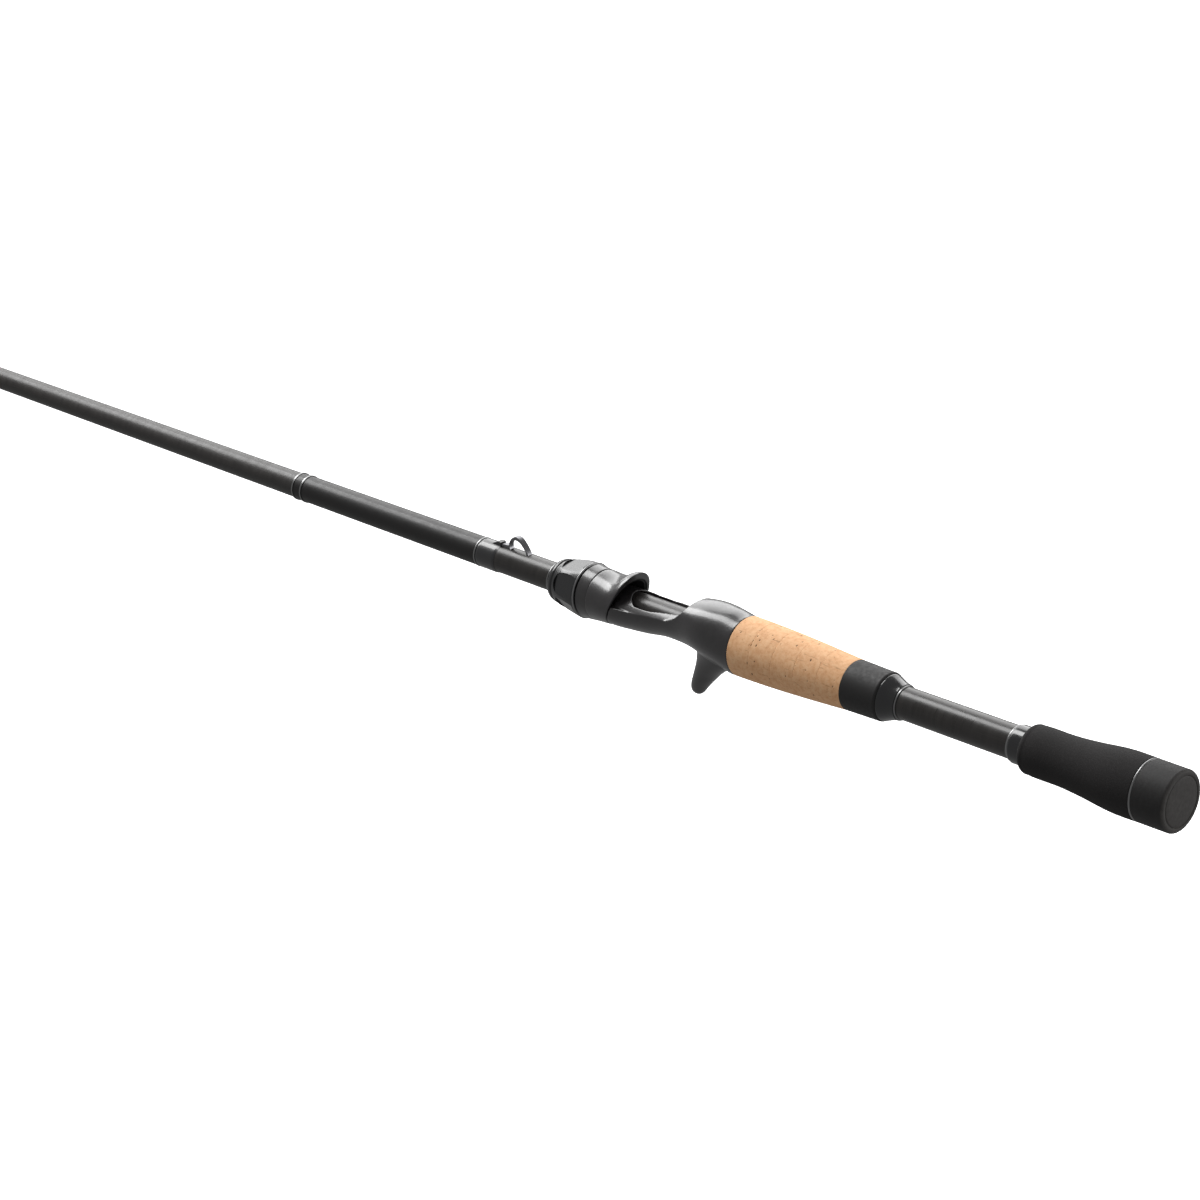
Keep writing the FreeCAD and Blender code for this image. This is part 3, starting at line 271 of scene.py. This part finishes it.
def make_materials():
    made = {}

    seat = Shader("seat_graphite", (0.019, 0.017, 0.018), 0.34, coat=0.7, coat_roughness=0.17)
    mottle = seat.noise(even(260.0), 4.0, 0.6)
    tone = seat.ramp(mottle, [(0.30, (0.015, 0.013, 0.014)), (0.70, (0.023, 0.021, 0.022))])
    seat.link(tone, "Base Color")
    seat.link(seat.ramp(seat.noise(even(900.0), 3.0), [(0.3, 0.29), (0.7, 0.39)]), "Roughness")
    seat.bump(seat.noise(even(3800.0), 2.0), 0.10, 0.00010)
    made["seat_graphite"] = seat

    blank = Shader("graphite_blank", (0.020, 0.018, 0.017), 0.46,
                   coat=0.18, coat_roughness=0.24, specular=0.4)
    streaks = blank.noise((60.0, 2600.0, 2600.0), 3.0, 0.6)
    spiral = blank.noise((420.0, 90.0, 90.0), 2.0, 0.5)
    grain = blank.mix(0.5, streaks, spiral)
    tone = blank.ramp(grain, [(0.35, (0.015, 0.013, 0.012)), (0.65, (0.027, 0.024, 0.022))])
    blank.link(tone, "Base Color")
    sheen = blank.ramp(spiral, [(0.3, 0.42), (0.7, 0.54)])
    hood_front, sleeve_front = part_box("sliding_hood")[1].x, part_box("gloss_sleeve")[1].x
    polish = blank.along_rod(hood_front, sleeve_front, 0.62, 1.0)
    blank.link(blank.math("MULTIPLY", sheen, polish), "Roughness")
    blank.bump(streaks, 0.12, 0.00006)
    made["graphite_blank"] = blank

    cap = Shader("cap_rubber", (0.014, 0.013, 0.013), 0.62, specular=0.35)
    side_tones = [(0.3, (0.011, 0.010, 0.010)), (0.7, (0.018, 0.017, 0.017))]
    end_tones = [(0.3, (0.042, 0.039, 0.037)), (0.7, (0.064, 0.060, 0.057))]
    side = cap.ramp(cap.noise(even(900.0), 4.0), side_tones)
    end = cap.ramp(cap.noise(even(600.0), 4.0), end_tones)
    cap.link(cap.mix(cap.along_rod(*CAP_FACE, 1.0, 0.0), side, end), "Base Color")
    cap.bump(cap.noise(even(5200.0), 2.0), 0.25, 0.00012)
    made["cap_rubber"] = cap

    eva = Shader("eva_foam", (0.022, 0.022, 0.024), 0.86, specular=0.35)
    cells = eva.cells(even(2600.0))
    eva_tones = [
        (0.0, (0.007, 0.006, 0.006)),
        (0.5, (0.014, 0.013, 0.013)),
        (0.9, (0.022, 0.020, 0.020)),
    ]
    eva.link(eva.ramp(cells, eva_tones), "Base Color")
    eva.bump(cells, 0.22, 0.00020)
    eva.bump(eva.noise(even(420.0), 3.0), 0.12, 0.0004)
    made["eva_foam"] = eva

    trim = Shader("matte_black_trim", (0.014, 0.013, 0.013), 0.58, specular=0.4)
    trim.link(trim.ramp(trim.noise(even(700.0), 3.0), [(0.3, 0.50), (0.7, 0.66)]), "Roughness")
    trim.bump(trim.noise((5000.0, 1200.0, 1200.0), 2.0), 0.15, 0.00008)
    made["matte_black_trim"] = trim

    gloss = Shader("gloss_black_trim", (0.008, 0.008, 0.009), 0.30, coat=0.5, coat_roughness=0.06)
    gloss.link(gloss.ramp(gloss.noise(even(300.0), 2.0), [(0.3, 0.16), (0.7, 0.28)]), "Roughness")
    gloss.bump(gloss.noise(even(180.0), 2.0), 0.05, 0.0003)
    made["gloss_black_trim"] = gloss

    sleeve = Shader("sleeve_black", (0.007, 0.006, 0.006), 0.46,
                    coat=0.12, coat_roughness=0.12, specular=0.35)
    dulling = sleeve.ramp(sleeve.noise(even(300.0), 2.0), [(0.3, 0.42), (0.7, 0.52)])
    sleeve.link(dulling, "Roughness")
    sleeve.bump(sleeve.noise((90.0, 260.0, 260.0), 2.0), 0.05, 0.0003)
    made["sleeve_black"] = sleeve

    nut = Shader("nut_black", (0.010, 0.010, 0.011), 0.25, coat=0.3, coat_roughness=0.10)
    nut.link(nut.ramp(nut.noise(even(500.0), 3.0), [(0.3, 0.21), (0.7, 0.30)]), "Roughness")
    nut.bump(nut.noise(even(1200.0), 2.0), 0.02, 0.00004)
    made["nut_black"] = nut

    ring = Shader("bright_ring", (0.23, 0.23, 0.23), 0.34, metallic=1.0)
    turning = ring.noise((9000.0, 200.0, 200.0), 2.0)
    ring.link(ring.ramp(turning, [(0.3, even(0.18)), (0.7, even(0.28))]), "Base Color")
    ring.bump(turning, 0.10, 0.00004)
    made["bright_ring"] = ring

    steel = Shader("guide_steel", (0.20, 0.20, 0.21), 0.26, metallic=1.0)
    steel.link(steel.ramp(steel.noise(even(1500.0), 3.0), [(0.3, 0.20), (0.7, 0.34)]), "Roughness")
    steel.bump(steel.noise(even(4000.0), 2.0), 0.05, 0.00004)
    made["guide_steel"] = steel

    wrap = Shader("epoxy_wrap", (0.008, 0.008, 0.009), 0.34, coat=0.6, coat_roughness=0.08)
    thread = wrap.wave((1400.0, 0.0, 0.0))
    tone = wrap.ramp(thread, [(0.0, (0.005, 0.005, 0.006)), (1.0, (0.014, 0.014, 0.015))])
    wrap.link(tone, "Base Color")
    wrap.bump(thread, 0.15, 0.00003)
    wrap.bump(wrap.noise((160.0, 260.0, 260.0), 2.0), 0.08, 0.0004)
    made["epoxy_wrap"] = wrap

    ceramic = Shader("ceramic_ring", (0.045, 0.045, 0.050), 0.12, coat=0.6)
    glaze = ceramic.ramp(ceramic.noise(even(1200.0), 2.0), [(0.3, 0.08), (0.7, 0.18)])
    ceramic.link(glaze, "Roughness")
    made["ceramic_ring"] = ceramic

    cushion = Shader("hood_cushion", (0.018, 0.018, 0.018), 0.75)
    cushion.bump(cushion.noise(even(2500.0), 2.0), 0.2, 0.0001)
    made["hood_cushion"] = cushion

    filler = Shader("arbor_foam", (0.20, 0.19, 0.17), 0.8)
    filler.bump(filler.noise(even(2500.0), 2.0), 0.2, 0.0001)
    made["arbor_foam"] = filler
    return made


def cork_shader(index):
    """Cork with its own grain offset, so that neighbouring rings differ."""
    shift = (3.1 * index, 7.7 * index, 1.9 * index)
    cork = Shader("cork_%d" % index, (0.74, 0.52, 0.33), 0.72, specular=0.3)
    broad = cork.noise(even(85.0), 5.0, 0.6, shift)
    fine = cork.noise(even(520.0), 5.0, 0.7, shift)
    tan = cork.ramp(broad, [
        (0.28, (0.70, 0.37, 0.175)),
        (0.50, (0.83, 0.475, 0.25)),
        (0.72, (0.91, 0.57, 0.32)),
    ])
    speckle = cork.ramp(fine, [
        (0.35, (0.66, 0.33, 0.15)),
        (0.50, (0.84, 0.485, 0.255)),
        (0.66, (0.94, 0.61, 0.35)),
    ])
    base = cork.mix(0.55, tan, speckle)
    pits = cork.cells((420.0, 250.0, 250.0), offset=shift)
    size = cork.noise(even(300.0), 2.0, 0.5, shift)
    edge = cork.math("ADD", pits, cork.math("MULTIPLY", size, 0.62))
    hole = cork.ramp(edge, [(0.35, 0.85), (0.40, 0.0)])
    grains = cork.cells((1500.0, 800.0, 800.0), offset=shift)
    dots = cork.math("ADD", grains, cork.math("MULTIPLY", fine, 0.5))
    specks = cork.ramp(dots, [(0.28, 0.30), (0.40, 0.0)])
    fibres = cork.noise((170.0, 1000.0, 1000.0), 3.0, 0.6, shift)
    streak = cork.ramp(fibres, [(0.62, 0.0), (0.72, 0.45)])
    base = cork.mix(streak, base, (0.27, 0.125, 0.05))
    base = cork.mix(specks, base, (0.22, 0.10, 0.04))
    cork.link(cork.mix(hole, base, (0.15, 0.070, 0.032)), "Base Color")
    cork.bump(cork.ramp(edge, [(0.36, 0.0), (0.45, 1.0)]), 0.6, 0.00045)
    cork.bump(fine, 0.15, 0.00025)
    return cork


# ---------------------------------------------------------------- pieces

TURN_STEPS = 128
BLANK_STEPS = 96
FILL_STEP = 0.0008                  # between the stations of a smoothed outline
MOST_FILL = 24
SAME_STATION = 4e-6
BLANK_STATION = 2e-5
SAME_POINT = 1e-7
BORE_SKIN = 1.2e-4
SHARP = math.radians(32)
SMOOTH_BEND = math.radians(16)      # an outline's smaller bends become a curve
EASED_BEND = math.radians(25)       # its larger ones get an arc
LARGEST_CUT = 0.4                   # share of a side that an arc may take
ARC_PARTS = 4
CAP_RIM = 0.0014
CAP_RIM_PARTS = 8
CAP_DISC_EDGE = 0.0024              # end disc inside the cap's outline
CAP_FLOOR = 0.004
CAP_BORE = 0.0074
CORK_EASE = 0.00015
SKIN_VOXEL = {"reel_seat_body": 0.00030, "sliding_hood": 0.00022}
SKIN_ROUNDS = 10


def add_piece(name, mesh, body, material):
    piece = bpy.data.objects.new(name, mesh)
    bpy.context.scene.collection.objects.link(piece)
    mesh.materials.clear()
    mesh.materials.append(material)
    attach(piece, body)
    return piece


def cad_profile(node):
    """Outer and inner (station, radius) lines of a turned CAD node, from its own corners."""
    corners = sorted(
        (round(v.co.x, 6), math.hypot(v.co.y, v.co.z)) for v in NODES[node].data.vertices
    )
    start, end = corners[0][0], corners[-1][0]
    bore_start = min(r for x, r in corners if x < start + SAME_STATION)
    bore_end = min(r for x, r in corners if x > end - SAME_STATION)
    outer = {}
    for x, r in corners:
        bore = bore_start + (bore_end - bore_start) * (x - start) / (end - start)
        if r > bore + BORE_SKIN:
            key = round(x / SAME_STATION)
            outer[key] = (x, max(r, outer.get(key, (x, 0.0))[1]))
    return [outer[key] for key in sorted(outer)], [(start, bore_start), (end, bore_end)]


def smooth_line(points):
    """Fills a polyline with points on a smooth curve, but keeps its corners."""
    slopes = []
    for i, (x, r) in enumerate(points):
        if i in (0, len(points) - 1):
            slopes.append(None)
            continue
        before = math.atan2(r - points[i - 1][1], x - points[i - 1][0])
        after = math.atan2(points[i + 1][1] - r, points[i + 1][0] - x)
        smooth = abs(after - before) < SMOOTH_BEND
        span = points[i + 1][0] - points[i - 1][0]
        rise = points[i + 1][1] - points[i - 1][1]
        slopes.append(rise / span if smooth and span > SAME_POINT else None)
    filled = [points[0]]
    for i in range(len(points) - 1):
        (x0, r0), (x1, r1) = points[i], points[i + 1]
        width = x1 - x0
        count = max(1, min(MOST_FILL, int(width / FILL_STEP)))
        plain = (r1 - r0) / width if width > 1e-9 else 0.0
        m0 = plain if slopes[i] is None else slopes[i]
        m1 = plain if slopes[i + 1] is None else slopes[i + 1]
        for k in range(1, count + 1):
            t = k / count
            h = t * t * (3 - 2 * t)
            bend = width * (m0 * t * (1 - t) ** 2 - m1 * t * t * (1 - t))
            filled.append((x0 + width * t, r0 + (r1 - r0) * h + bend))
    return filled


def lathe_mesh(name, outline, steps=TURN_STEPS):
    """Closed mesh of a (station, radius) outline turned about X."""
    ring = [outline[0]]
    for last, point in zip(outline, outline[1:]):
        if (Vector(point) - Vector(last)).length > SAME_POINT:
            ring.append(point)
    mesh_builder = bmesh.new()
    columns = []
    for k in range(steps):
        angle = 2 * math.pi * k / steps
        column = []
        for x, r in ring:
            column.append(mesh_builder.verts.new((x, r * math.sin(angle), r * math.cos(angle))))
        columns.append(column)
    count = len(ring)
    for k in range(steps):
        here = columns[k]
        there = columns[(k + 1) % steps]
        for i in range(count):
            j = (i + 1) % count
            mesh_builder.faces.new((here[i], here[j], there[j], there[i]))
    bmesh.ops.remove_doubles(mesh_builder, verts=mesh_builder.verts, dist=SAME_POINT)
    bmesh.ops.dissolve_degenerate(mesh_builder, edges=mesh_builder.edges, dist=SAME_POINT)
    bmesh.ops.recalc_face_normals(mesh_builder, faces=mesh_builder.faces)
    mesh = bpy.data.meshes.new(name)
    mesh_builder.to_mesh(mesh)
    mesh_builder.free()
    mesh.shade_smooth()
    mesh.set_sharp_from_angle(angle=SHARP)
    return mesh


def eased(points, radius):
    """Rounds the sharp corners of a polyline with short arcs."""
    out = [points[0]]
    for i in range(1, len(points) - 1):
        here = Vector(points[i])
        back = Vector(points[i - 1]) - here
        ahead = Vector(points[i + 1]) - here
        if min(back.length, ahead.length) < SAME_POINT or back.angle(-ahead) < EASED_BEND:
            out.append(points[i])
            continue
        cut = min(radius, back.length * LARGEST_CUT, ahead.length * LARGEST_CUT)
        start = here + back.normalized() * cut
        end = here + ahead.normalized() * cut
        for k in range(ARC_PARTS + 1):
            t = k / ARC_PARTS
            p = start * (1 - t) ** 2 + here * 2 * t * (1 - t) + end * t * t
            out.append((p.x, p.y))
    out.append(points[-1])
    return out


def turned(node, material, ease=0.0002):
    """High-resolution copy of a turned CAD node, with its outer corners eased."""
    outer, bore = cad_profile(node)
    path = eased([bore[0]] + smooth_line(outer) + [bore[1]], ease)
    mesh = lathe_mesh(node + "_look", path)
    piece = add_piece(node + "_look", mesh, BODY_OF[node], material)
    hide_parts(node)


def butt_cap(material):
    """Rubber cap: rounded rim, a shallow groove, and a slightly domed end disc."""
    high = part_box("butt_cap")[1]
    radius = high.z
    rim = CAP_RIM
    disc = radius - CAP_DISC_EDGE
    path = [
        (high.x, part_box("butt_trim_ring")[1].z * 0.55),
        (high.x, radius - 0.0002),
        (high.x - 0.0003, radius),
    ]
    for k in range(CAP_RIM_PARTS + 1):
        angle = math.pi / 2 * k / CAP_RIM_PARTS
        path.append((rim - rim * math.sin(angle), radius - rim + rim * math.cos(angle)))
    groove = ((0.0, 0.00035), (0.00012, 0.00012), (0.00035, 0.0), (0.00035, -0.0002))
    dome = ((0.00012, -0.00045), (0.00003, -0.0008))
    path += [(x, disc + out) for x, out in groove + dome]
    path += [(0.0, disc * 0.6), (0.0, 0.0)]
    path += [(CAP_FLOOR, 0.0), (CAP_FLOOR, CAP_BORE), (high.x, CAP_BORE)]
    mesh = lathe_mesh("butt_cap_look", path)
    piece = add_piece("butt_cap_look", mesh, "rod", material)
    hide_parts("butt_cap")


def rod_blank(material):
    """Tapered tube at full resolution along its whole length."""
    corners = sorted((v.co.x, math.hypot(v.co.y, v.co.z)) for v in NODES["blank"].data.vertices)
    stations = sorted({round(x, 5) for x, r in corners})
    outer, inner = [], []
    for x in stations:
        radii = [r for s, r in corners if abs(s - x) < BLANK_STATION]
        outer.append((x, max(radii)))
        inner.append((x, min(radii)))
    between = [p for p, q in zip(outer[1:-1], inner[1:-1]) if p[1] - q[1] > BORE_SKIN]
    outline = [outer[0]] + between + [outer[-1], inner[-1], inner[0]]
    mesh = lathe_mesh("blank_look", outline, steps=BLANK_STEPS)
    piece = add_piece("blank_look", mesh, "rod", material)
    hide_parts("blank")


def soften(node, material, voxel):
    """Evenly rounded skin, by modifiers, over a CAD node whose own mesh stays as it is."""
    piece = NODES[node]
    piece.data.materials.clear()
    piece.data.materials.append(material)
    remesh = piece.modifiers.new("skin", "REMESH")
    remesh.mode = "VOXEL"
    remesh.voxel_size = voxel
    remesh.use_smooth_shade = True
    relax = piece.modifiers.new("relax", "SMOOTH")
    relax.factor = 0.5
    relax.iterations = SKIN_ROUNDS


def carried(node, material):
    """A CAD node that keeps its mesh, with smooth shading and a detailed material."""
    piece = NODES[node]
    piece.data.materials.clear()
    piece.data.materials.append(material)
    piece.data.shade_smooth()
    piece.data.set_sharp_from_angle(angle=SHARP)


def make_pieces():
    slots = {part["node"]: part["material_slot"] for part in frame["record"]["subparts"]}
    shades = make_materials()
    finish = {name: shade.material for name, shade in shades.items()}
    rings = ("butt_trim_ring", "rear_grip_ring", "grip_check_ring",
             "nut_trim_ring", "nut_nose_ring", "keeper_trim_ring")
    lathes = ("rear_grip", "rear_grip_collar", "grip_winding_check", "grip_trim_collar",
              "hood_collar", "nut_cone", "gloss_sleeve", "front_trim_band") + rings
    for node in lathes:
        look = "sleeve_black" if node in ("gloss_sleeve", "front_trim_band") else slots[node]
        turned(node, finish[look])
    cork = sorted(node for node in NODES if node.startswith("cork_ring_"))
    for index, node in enumerate(cork, start=1):
        turned(node, cork_shader(index).material, ease=CORK_EASE)
    butt_cap(finish["cap_rubber"])
    rod_blank(finish["graphite_blank"])
    for node, voxel in SKIN_VOXEL.items():
        soften(node, finish["seat_graphite"], voxel)
    done = set(lathes) | set(cork) | {"butt_cap", "blank"} | set(SKIN_VOXEL)
    for node in sorted(set(NODES) - done):
        carried(node, finish[slots[node]])


make_camera()
make_studio()
make_pieces()
